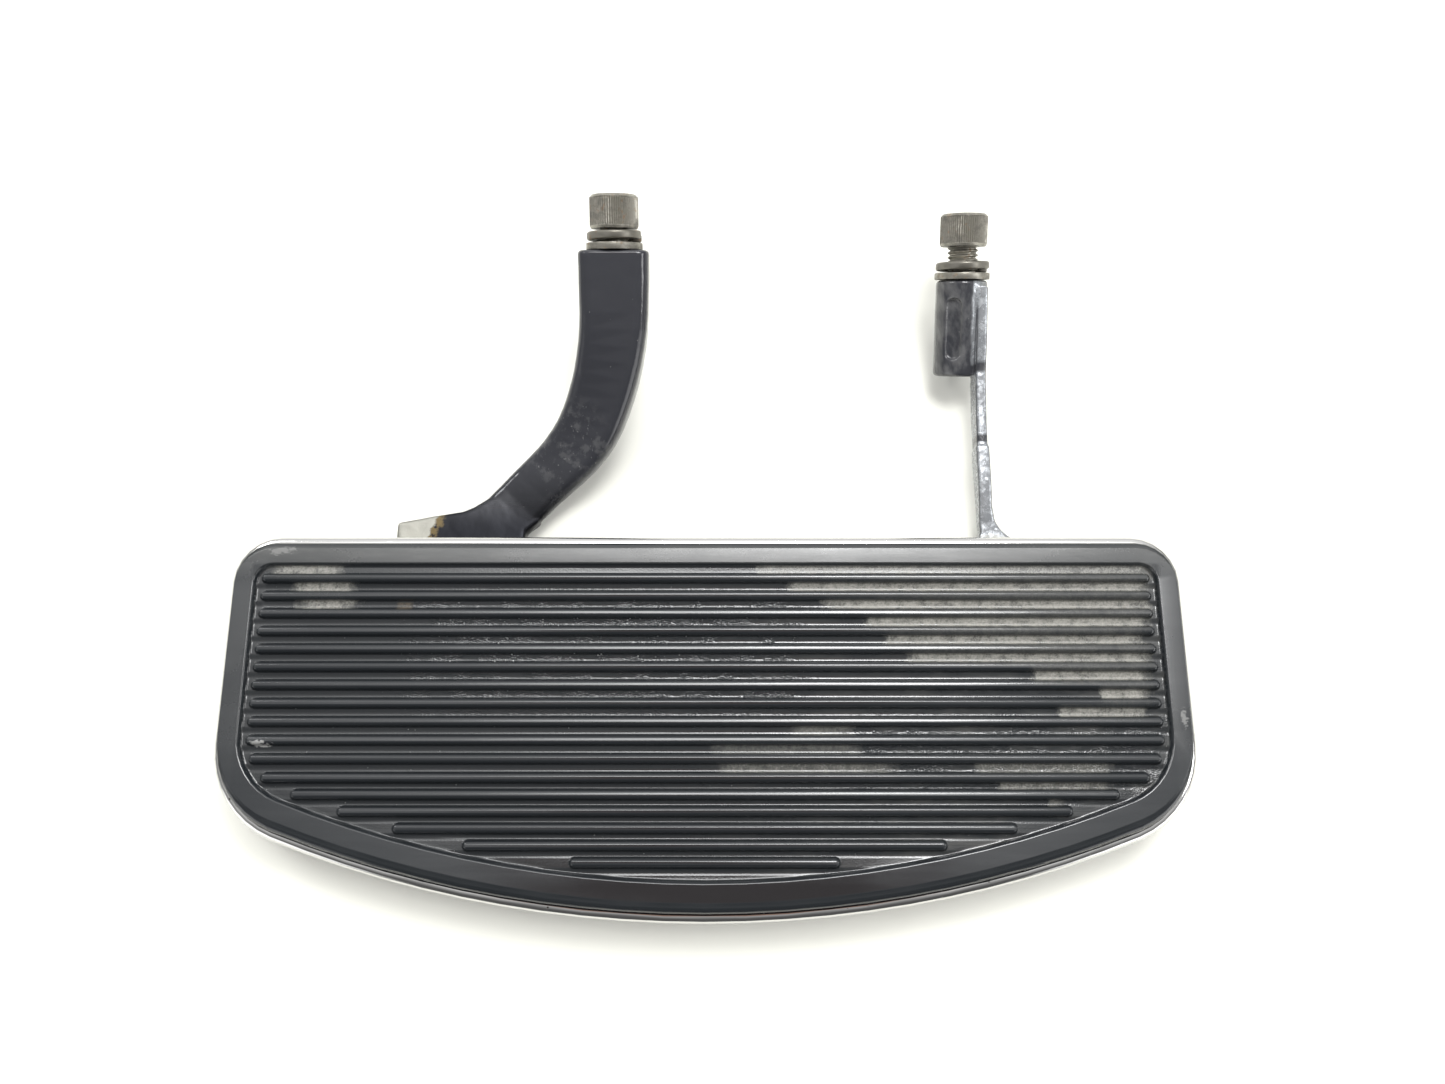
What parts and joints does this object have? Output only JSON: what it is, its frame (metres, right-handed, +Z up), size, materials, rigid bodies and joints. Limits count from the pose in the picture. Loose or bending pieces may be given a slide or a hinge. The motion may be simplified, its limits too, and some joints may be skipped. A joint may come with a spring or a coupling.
{
  "type": "motorcycle floorboard",
  "caption": "D-shaped rider's floorboard: a cast pan with a ribbed rubber pad, hinged on a curved front arm and a slim rear arm with cap screws.",
  "frame": {"origin": "underside of the pan's skirt, in the middle of the straight inboard wall and of its thickness", "axes": "+X along the board towards the rear arm, +Y inboard towards the motorcycle, +Z up out of the rubber pad"},
  "size_m": [0.346, 0.264, 0.0633],
  "materials": {
    "chrome": "chrome plate, lightly pitted and dulled at the lip",
    "black_rubber": "semi-gloss moulded rubber, dusty between the ribs",
    "black_gloss_paint": "gloss black paint, worn to bare metal at the feet and edges",
    "worn_zinc": "worn, dull zinc plate with grime",
    "plain_steel": "plain machined steel"
  },
  "bodies": {
    "board": {"deck_pan": "chrome", "rubber_pad": "black_rubber", "pad_plate": "plain_steel", "pad_washer_1": "plain_steel", "pad_washer_2": "plain_steel", "pad_washer_3": "plain_steel", "pad_washer_4": "plain_steel", "pad_nut_1": "plain_steel", "pad_nut_2": "plain_steel", "pad_nut_3": "plain_steel", "pad_nut_4": "plain_steel", "front_pivot_pin": "plain_steel", "front_pin_washer": "plain_steel", "front_pin_clip": "plain_steel", "rear_pivot_pin": "plain_steel", "rear_pin_washer": "plain_steel", "rear_pin_clip": "plain_steel"},
    "front_bracket": {"front_arm": "black_gloss_paint", "front_mount_screw": "worn_zinc", "front_flat_washer": "worn_zinc", "front_spring_washer": "worn_zinc"},
    "rear_bracket": {"rear_arm": "black_gloss_paint", "rear_mount_screw": "worn_zinc", "rear_flat_washer": "worn_zinc", "rear_spring_washer": "worn_zinc"}
  },
  "joints": [
    {"name": "front_fold", "type": "hinge", "parent": "board", "child": "front_bracket", "pos_m": [-0.09345, -0.005, 0.008], "axis": [1, 0, 0], "range_deg": [0, 40]},
    {"name": "rear_fold", "type": "hinge", "parent": "board", "child": "rear_bracket", "pos_m": [0.1085, -0.005, 0.008], "axis": [1, 0, 0], "range_deg": [0, 40]}
  ]
}
